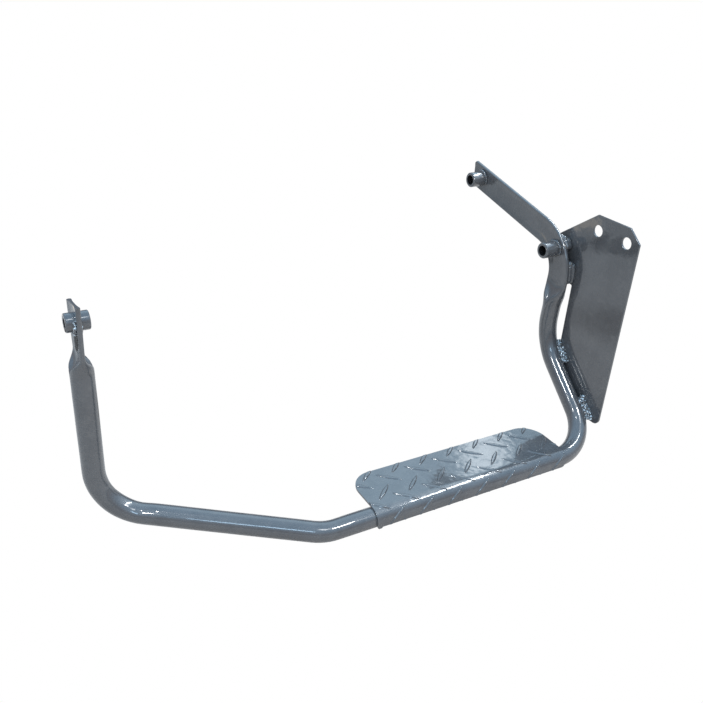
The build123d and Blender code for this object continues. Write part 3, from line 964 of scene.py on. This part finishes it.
def weld_tree():
    tree, given, found = start_tree("weld_bead", {
        "Geometry": "Geometry", "Bead": "Object", "Grain": 0.45 * MM, "Smoothing": 2,
        "Lump Height": 0.6 * MM, "Lump Size": 3.0 * MM, "Ripple Height": 0.15 * MM,
        "Ripple Pitch": 2.2 * MM, "Ripple Way": (0.0, 0.0, 1.0), "Enamel": "Material",
    })

    # The plain bead and the lumps, melted into one skin
    bead = tree.add("GeometryNodeObjectInfo", {"Object": given["Bead"]}, output="Geometry")
    radius = tree.add("GeometryNodeInputNamedAttribute", {"Name": "radius"}, data_type="FLOAT")
    ball = tree.add("GeometryNodeMeshIcoSphere", {"Radius": 1.0, "Subdivisions": 3})
    balls = tree.add("GeometryNodeInstanceOnPoints",
                     {"Points": given["Geometry"], "Instance": ball, "Scale": radius})
    solid_balls = tree.add("GeometryNodeRealizeInstances", {"Geometry": balls})
    both = tree.add("GeometryNodeJoinGeometry", {0: [bead, solid_balls]})
    band = tree.times(given["Grain"], 3.0)
    volume = tree.add("GeometryNodeMeshToVolume", {
        "Mesh": both, "Density": 1.0, "Voxel Size": given["Grain"],
        "Interior Band Width": band,
    }, resolution_mode="VOXEL_SIZE")
    skin = tree.add("GeometryNodeVolumeToMesh", {
        "Volume": volume, "Voxel Size": given["Grain"], "Threshold": 0.2, "Adaptivity": 0.0,
    }, resolution_mode="VOXEL_SIZE")
    spot = tree.add("GeometryNodeInputPosition")
    soft_spot = tree.add("GeometryNodeBlurAttribute", {"Value": spot, "Iterations": given["Smoothing"]},
                         data_type="FLOAT_VECTOR")
    soft = tree.add("GeometryNodeSetPosition", {"Geometry": skin, "Position": soft_spot})

    # Ripples across the bead's way, and lumps of noise
    along = tree.add("ShaderNodeVectorMath", {0: spot, 1: given["Ripple Way"]}, output="Value",
                     operation="DOT_PRODUCT")
    waver = tree.times(tree.noise(spot, 140.0, 1.0), 1.6 * MM)
    turns = tree.math("DIVIDE", tree.plus(along, waver), given["Ripple Pitch"])
    wave = tree.math("SINE", tree.times(turns, 2 * pi))
    ripple = tree.times(wave, given["Ripple Height"])
    scale = tree.math("DIVIDE", 1.0, given["Lump Size"])
    lumps = tree.minus(tree.noise(spot, scale, 3.0, 0.6), 0.5)
    height = tree.plus(ripple, tree.times(lumps, given["Lump Height"]))
    normal = tree.add("GeometryNodeInputNormal")
    push = tree.add("ShaderNodeVectorMath", {0: normal, "Scale": height}, operation="SCALE")
    raised = tree.add("GeometryNodeSetPosition", {"Geometry": soft, "Offset": push})
    end_tree(tree, raised, given["Enamel"])
    return tree.tree, found


WELD_TREE, WELD_INPUTS = weld_tree()

# %% Laying a bead


def lay_weld(node, lumps, way=(0.0, 0.0, 1.0), lump_height=0.7, lump_size=3.0, ripple=0.15, grain=0.4,
             smoothing=2, paint=WELD_ENAMEL):
    """One weld from the model's bead and a list of lumps (place, radius); sizes in millimetres."""
    mesh = bpy.data.meshes.new(node + "_lumps")
    mesh.from_pydata([tuple(spot) for spot, radius in lumps], [], [])
    sizes = mesh.attributes.new("radius", "FLOAT", "POINT")
    for index, (spot, radius) in enumerate(lumps):
        sizes.data[index].value = radius * MM
    carrier = scene_object(node + "_bead", mesh)
    bead = merged_copy(node, node + "_plain")
    layer = carrier.modifiers.new("weld", "NODES")
    layer.node_group = WELD_TREE
    values = {
        "Bead": bead, "Grain": grain * MM, "Lump Height": lump_height * MM, "Enamel": paint,
        "Lump Size": lump_size * MM, "Ripple Height": ripple * MM, "Ripple Way": tuple(way),
        "Smoothing": smoothing,
    }
    for name, value in values.items():
        layer[WELD_INPUTS[name]] = value
    apply_modifiers(carrier)
    bpy.data.objects.remove(bead)
    return finish_piece(carrier, paint, node, smooth_angle=80)


def scattered(spots, spread, chance, seed):
    """Lumps (place, radius) with each place moved and each radius changed a little."""
    dice = random.Random(seed)
    lumps = []
    for spot, radius in spots:
        shift = Vector([dice.uniform(-spread, spread) * MM for axis in range(3)])
        lumps.append((spot + shift, radius * dice.uniform(1 - chance, 1 + chance)))
    return lumps


def ring_lumps(centre, x, reach, start, end, count, size, seed):
    """Lumps round a bush, on the face at x; the angles run from +Y towards +Z, in degrees."""
    spots = []
    for index in range(count):
        angle = radians(start + (end - start) * index / (count - 1))
        spot = Vector((x, centre.y + reach * cos(angle), centre.z + reach * sin(angle)))
        spots.append((spot, size))
    return scattered(spots, 0.35, 0.22, seed)


LUMP_GAP = 9 * MM


def filled(spots):
    """Lumps in metres from places in millimetres, with one more between close neighbours."""
    lumps = [(Vector(spot) * MM, radius) for spot, radius in spots]
    pairs = [pair for pair in zip(lumps, lumps[1:]) if (pair[0][0] - pair[1][0]).length < LUMP_GAP]
    return lumps + [((a + b) / 2, (r + q) / 2) for (a, r), (b, q) in pairs]


GROOVE_SIDE = Vector((0, -LEAN_WAY.z, LEAN_WAY.y))
# Where the kink starts along the lean, and twice its radius, in millimetres
KINK_START = 136.0
KINK_SPREAD = 176.0


def groove_lumps(start, end, step, seed):
    """Lumps in the groove between the leaning tube and the plate; distances along the tube."""
    spots = []
    along = start
    while along <= end:
        bend = max(0.0, along - KINK_START) ** 2 / KINK_SPREAD
        for aside, x, size in ((10.5, -8.2, 2.6), (14.0, -5.6, 2.6), (15.5, -3.6, 2.2)):
            spot = RUN_RIGHT + LEAN_WAY * along * MM + GROOVE_SIDE * (aside + bend) * MM
            spots.append((Vector((x * MM, spot.y, spot.z)), size))
        along += step
    return scattered(spots, 1.0, 0.35, seed)


# %% All the welds
# Places and radii, in millimetres, of the metal piled up between the pressed tube and the ear
EAR_UPPER = [((-10.5, 79.0, -28.5), 5.2), ((-10.0, 75.0, -35.5), 5.8), ((-10.5, 72.5, -42.5), 4.2),
             ((-6.0, 76.0, -31.0), 5.2), ((-5.5, 72.5, -37.5), 5.2), ((-12.0, 84.0, -26.0), 3.8)]
EAR_LOWER = [((-10.0, 59.5, -61.0), 5.2), ((-9.5, 58.0, -68.0), 5.0), ((-9.5, 57.0, -75.0), 5.0),
             ((-10.0, 56.5, -82.0), 4.8), ((-10.5, 56.5, -87.5), 3.6), ((-6.0, 57.0, -63.5), 5.0),
             ((-5.5, 55.5, -71.0), 4.8), ((-5.5, 54.5, -79.0), 4.6), ((-5.5, 54.5, -86.0), 3.8)]

# Node, bush, x of its face, lump height and enamel, then two rings of lumps: x from the face
# and reach in millimetres, first and last angle, count, size and seed
BUSH_WELDS = [
    ("arm_weld_kink", KINK_BUSH, ARM_NEAR_X, 0.9, WELD_ENAMEL,
     (-0.9, 12.6, -30, 200, 21, 1.9, 3), (-2.0, 12.0, 40, 150, 8, 2.2, 4)),
    ("arm_weld_tip", TIP_BUSH, ARM_NEAR_X, 0.9, WELD_ENAMEL,
     (-0.9, 12.6, -30, 200, 21, 1.8, 5), (-2.0, 12.4, 70, 150, 6, 2.7, 6)),
    ("blade_weld_outer", BLADE_BUSH, BLADE_X, 0.8, PAINTED_GLINT_ENAMEL,
     (-3.1, 11.6, 160, 350, 15, 2.1, 7), (-2.6, 13.2, 195, 270, 5, 2.4, 17)),
    ("blade_weld_inner", BLADE_BUSH, BLADE_X, 0.8, PAINTED_GLINT_ENAMEL,
     (3.1, 11.6, 160, 350, 15, 2.3, 8), (2.8, 13.2, 195, 270, 5, 2.7, 18)),
]

for node, centre, face_x, lump_height, paint, *rings in BUSH_WELDS:
    lumps = []
    for out, reach, *others in rings:
        lumps += ring_lumps(centre, face_x + out * MM, reach * MM, *others)
    lay_weld(node, lumps, lump_height=lump_height, ripple=0.0, paint=paint)
for node, start, end, seed in (("lean_weld_upper", 132, 162, 11), ("lean_weld_lower", 39, 73, 12)):
    lay_weld(node, groove_lumps(start, end, 3.4, seed), LEAN_WAY, lump_height=1.5, lump_size=2.4,
             ripple=0.2, grain=0.35, paint=PAINTED_GLINT_ENAMEL)
for node, spots in (("ear_weld_upper", EAR_UPPER), ("ear_weld_lower", EAR_LOWER)):
    lay_weld(node, filled(spots), LEG_WAY, lump_height=0.5, lump_size=6.0, ripple=0.05, smoothing=12)
for node in ("tread_weld_left", "tread_weld_right"):
    lay_weld(node, [], X_WAY, lump_height=0.9, lump_size=4.0, ripple=0.2)
lay_weld("flange_weld_left", [], X_WAY, lump_height=0.8, lump_size=2.5, ripple=0.1)

# %% [markdown]
# ## Stage and light
# The photograph was cut out on white, so the camera sees the floor and the sky as plain white.
# The enamel sees something else: a dim warm floor, a sky that turns blue overhead, a bright
# bluish wall panel to the right with one small cloud in it, a glow high in front, and darkness
# straight behind the step, which draws the dark rims that gloss paint shows at its outline.
# Three round patches of the floor have a brightness of their own in reflections alone: one is
# bright and warm, one nearly black and one dim. They stand for things round the real step.

# %% Stage
FLOOR_Z = cad_low.z - 30 * MM
FLOOR_GREY = (0.55, 0.46, 0.40, 1.0)
WHITE = (1.0, 1.0, 1.0, 1.0)
FLOOR_REACH = 6.0
# Patches of the floor that only reflections see: x, y, inner and outer radius, colour, strength
MIRRORED_PATCHES = [
    (-0.840, 0.860, 0.050, 0.072, (1.0, 0.92, 0.80, 1.0), 1.2),
    (-0.800, 0.665, 0.055, 0.100, (1.0, 1.0, 1.0, 1.0), 0.04),
    (-0.430, 0.310, 0.020, 0.130, (1.0, 0.95, 0.90, 1.0), 0.25),
]


def floor_material():
    """Plain white to the camera, dim and warm to everything else."""
    material, tree, shader = principled("studio_floor_white")
    nodes = material.node_tree.nodes
    nodes.remove(shader)
    matt = tree.add("ShaderNodeBsdfDiffuse", {"Color": FLOOR_GREY})
    spot = tree.add("ShaderNodeTexCoord", output="Object")
    mirrored = tree.add("ShaderNodeLightPath", output="Is Glossy Ray")
    for x, y, inner, outer, colour, strength in MIRRORED_PATCHES:
        gap = tree.add("ShaderNodeVectorMath", {0: spot, 1: (x, y, FLOOR_Z)}, output="Value",
                       operation="DISTANCE")
        share = tree.times(tree.ramp(gap, inner, outer, 1.0, 0.0), mirrored)
        glow = tree.add("ShaderNodeEmission", {"Color": colour, "Strength": strength})
        matt = tree.add("ShaderNodeMixShader", {0: share, 1: matt, 2: glow})
    white = tree.add("ShaderNodeEmission", {"Color": WHITE, "Strength": 1.0})
    seen = tree.add("ShaderNodeLightPath", output="Is Camera Ray")
    mix = tree.add("ShaderNodeMixShader", {0: seen, 1: matt, 2: white})
    tree.feed(nodes["Material Output"], {"Surface": mix})
    return material


def stage():
    bm = bmesh.new()
    bmesh.ops.create_grid(bm, x_segments=1, y_segments=1, size=FLOOR_REACH,
                          matrix=Matrix.Translation((-0.35, 0.05, FLOOR_Z)))
    floor = mesh_piece("studio_floor", bm)
    floor.data.materials.append(floor_material())


stage()

# %% Sky
LOW_SKY = (0.45, 0.43, 0.435, 1.0)
HIGH_SKY = (0.60, 0.92, 1.26, 1.0)
PANEL_BLUE = (0.92, 1.30, 1.62, 1.0)
CLOUD = (3.8, 4.3, 4.7, 1.0)
FRONT_GLOW = (6.0, 6.4, 6.8, 1.0)
BEHIND_DARK = (0.07, 0.07, 0.08, 1.0)
# Way to the middle, inner and outer edge in degrees, greatest share, colour
SKY_PATCHES = [
    ((0.48, 0.64, 0.60), 8, 38, 0.9, PANEL_BLUE),
    ((0.561, 0.612, 0.556), 0.2, 2.4, 1.0, CLOUD),
    ((0.148, -0.510, 0.850), 2.0, 8.0, 1.0, FRONT_GLOW),
    ((0.50, 0.84, -0.20), 25, 50, 0.9, BEHIND_DARK),
]


def patch_of_sky(tree, way, toward, inner, outer, most):
    """Share of a soft round patch about one direction; its edges are given in degrees."""
    dot = tree.add("ShaderNodeVectorMath", {0: way, 1: Vector(toward).normalized()}, output="Value",
                   operation="DOT_PRODUCT")
    return tree.ramp(dot, cos(radians(outer)), cos(radians(inner)), 0.0, most)


def sky_world():
    world = bpy.data.worlds.new("studio_sky")
    bpy.context.scene.world = world
    world.use_nodes = True
    tree = Tree(world.node_tree)
    background = world.node_tree.nodes["Background"]
    way = tree.add("ShaderNodeTexCoord", output="Generated")
    sky = tree.blend(tree.ramp(tree.split(way)[2], 0.0, 0.80), LOW_SKY, HIGH_SKY)
    for toward, inner, outer, most, colour in SKY_PATCHES:
        sky = tree.blend(patch_of_sky(tree, way, toward, inner, outer, most), sky, colour)
    seen = tree.add("ShaderNodeLightPath", output="Is Camera Ray")
    tree.feed(background, {"Color": tree.blend(seen, sky, WHITE), "Strength": 1.0})


sky_world()

# %% [markdown]
# ## Lamps
# Bright lines in the photograph gave the lamps away: the place of a reflection and the curve
# of the metal there fix the direction that the light came from. Each lamp is a strip that
# faces the step, and its strength is given as the brightness of its own face.

# %% Lamps
STEP_MIDDLE = (cad_low + cad_high) / 2


def strip_lamp(name, start, end, width, brightness, colour=(1.0, 1.0, 1.0)):
    start, end = Vector(start), Vector(end)
    along = (end - start).normalized()
    middle = (start + end) / 2
    back = middle - STEP_MIDDLE
    back = (back - along * back.dot(along)).normalized()
    lamp = bpy.data.lights.new(name, "AREA")
    lamp.shape = "RECTANGLE"
    lamp.size, lamp.size_y = width, (end - start).length
    lamp.energy = brightness * pi * lamp.size * lamp.size_y
    lamp.color = colour
    body = scene_object(name, lamp)
    turned_to = Matrix((along.cross(back), along, back)).transposed()
    body.matrix_world = Matrix.Translation(middle) @ turned_to.to_4x4()


strip_lamp("overhead_strip", (0.53, -0.60, 1.2), (1.04, 0.86, 1.2), 0.07, 50.0, (0.92, 0.97, 1.0))
strip_lamp("left_lamp", (-1.17, -0.54, 0.58), (-1.17, -0.38, 0.58), 0.07, 60.0)
strip_lamp("high_front_lamp", (0.04, -0.84, 1.00), (0.20, -0.84, 1.00), 0.12, 70.0)
strip_lamp("soft_front_panel", (-1.40, -1.33, 0.75), (-0.80, -1.33, 0.75), 0.22, 6.0, (0.55, 0.78, 1.0))
strip_lamp("overhead_spot", (-0.98, -0.285, 1.18), (-0.93, -0.285, 1.18), 0.12, 60.0)
